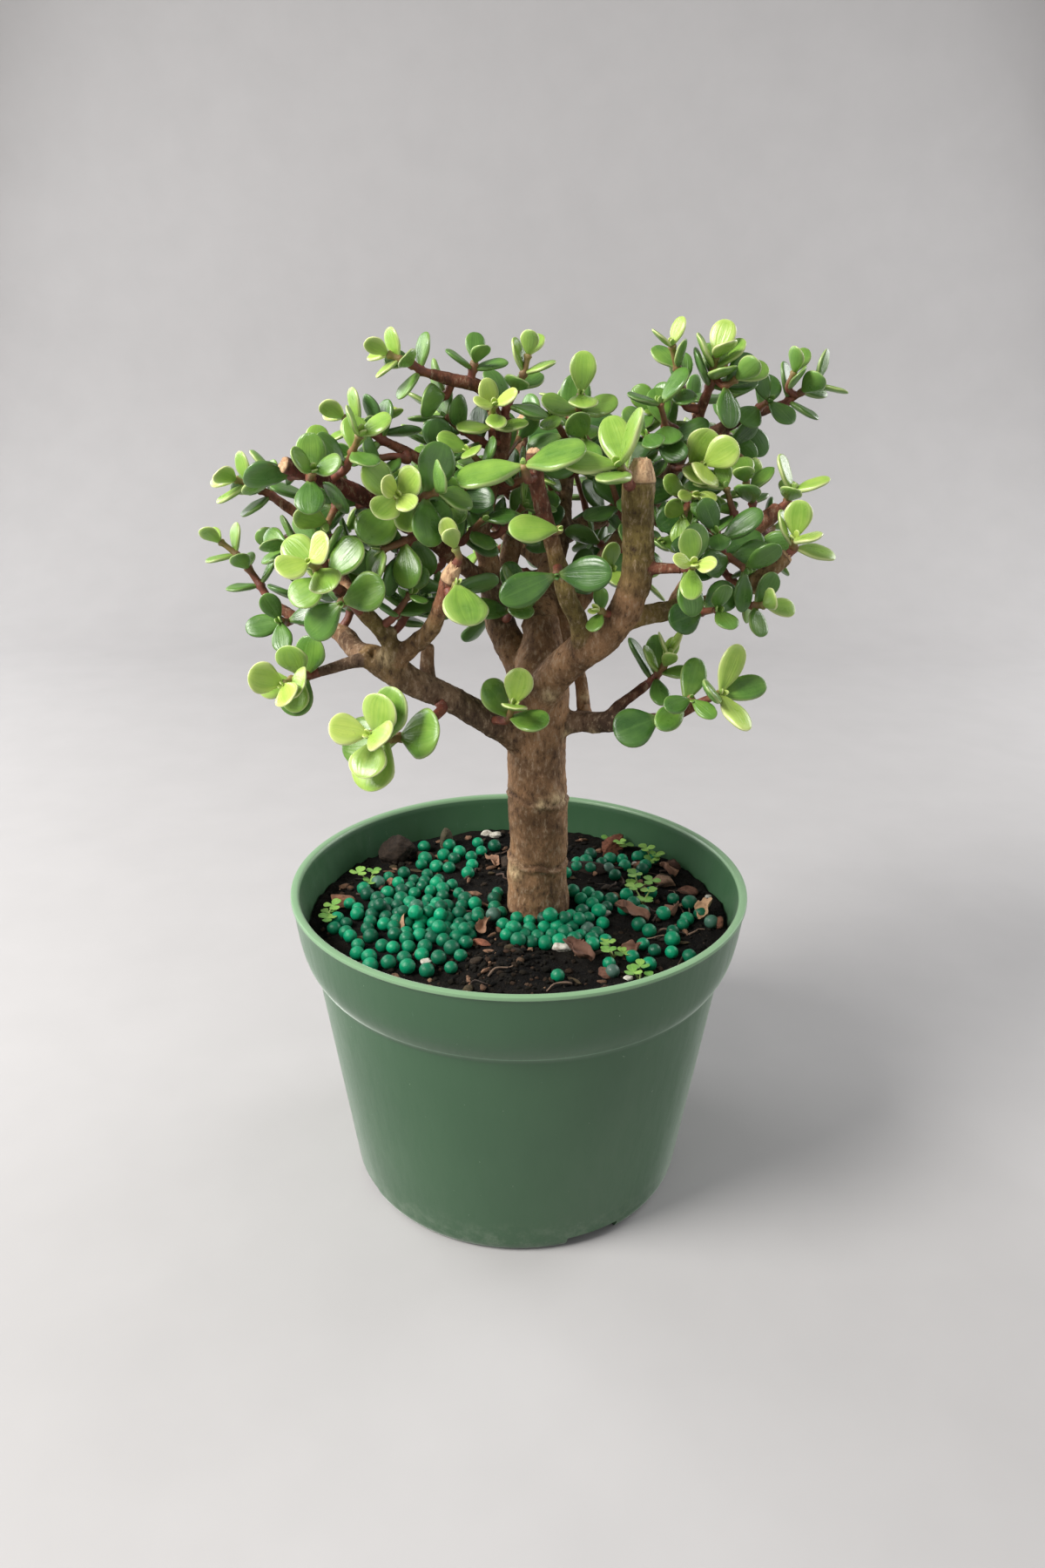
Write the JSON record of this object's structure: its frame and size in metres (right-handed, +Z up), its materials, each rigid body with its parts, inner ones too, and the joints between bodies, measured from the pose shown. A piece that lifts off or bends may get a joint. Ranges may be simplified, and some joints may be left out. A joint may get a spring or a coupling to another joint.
{
  "type": "dwarf jade bonsai",
  "caption": "Dwarf jade bonsai with a thick brown trunk, cut-back limbs and small fleshy leaves, growing in potting mix in a round green nursery pot.",
  "frame": {"origin": "middle of the pot's underside, on the surface that it stands on", "axes": "+Z up the trunk, -Y towards the face that the picture shows, +X to the right of someone who looks at that face"},
  "size_m": [0.1694, 0.1394, 0.2362],
  "materials": {
    "pot": "satin, thinly scuffed",
    "potting_mix": "loose, dark and matte",
    "bark": "dry, rough bark with ring scars",
    "leaves": "waxy, with a soft shine",
    "feed_beads": "satin resin coat",
    "bark_chips": "dry and matte",
    "seedlings": "soft, thin leaf"
  },
  "bodies": {
    "root": {"bark_chunk": "bark_chips", "bark_flake": "bark_chips", "beads_front": "feed_beads", "beads_left": "feed_beads", "pot": "pot", "potting_mix": "potting_mix", "seedling_edge": "seedlings", "seedling_front": "seedlings", "seedling_left": "seedlings", "seedling_right": "seedlings", "spray_arm_left_tip": "leaves", "spray_arm_left_under": "leaves", "spray_back_left_mid": "leaves", "spray_back_left_tip": "leaves", "spray_back_low_left": "leaves", "spray_back_low_right": "leaves", "spray_back_right_mid": "leaves", "spray_back_right_tip": "leaves", "spray_back_top": "leaves", "spray_below_rosette": "leaves", "spray_big_horizontal": "leaves", "spray_bright_long": "leaves", "spray_callus_back": "leaves", "spray_callus_front": "leaves", "spray_callus_tip": "leaves", "spray_centre_high": "leaves", "spray_centre_rosette": "leaves", "spray_crotch": "leaves", "spray_far_left": "leaves", "spray_folded": "leaves", "spray_fork_tip": "leaves", "spray_front_left": "leaves", "spray_left_low_twig": "leaves", "spray_left_olive_pair": "leaves", "spray_left_rosette": "leaves", "spray_left_tip": "leaves", "spray_lower_left": "leaves", "spray_mid_right_top": "leaves", "spray_olive_dark": "leaves", "spray_olive_left": "leaves", "spray_on_trunk": "leaves", "spray_right_end": "leaves", "spray_right_fine_tip": "leaves", "spray_right_hang": "leaves", "spray_right_mid_dark": "leaves", "spray_right_olive_low": "leaves", "spray_right_olive_tip": "leaves", "spray_right_round": "leaves", "spray_right_top_end": "leaves", "spray_right_top_mid": "leaves", "spray_right_twin_mid": "leaves", "spray_right_twin_tip": "leaves", "spray_top_centre": "leaves", "spray_top_centre_lime": "leaves", "spray_top_left_knob": "leaves", "spray_top_left_tip": "leaves", "spray_top_right_left": "leaves", "spray_top_right_tip": "leaves", "spray_upper_left_dark": "leaves", "trunk": "bark"}
  },
  "joints": []
}
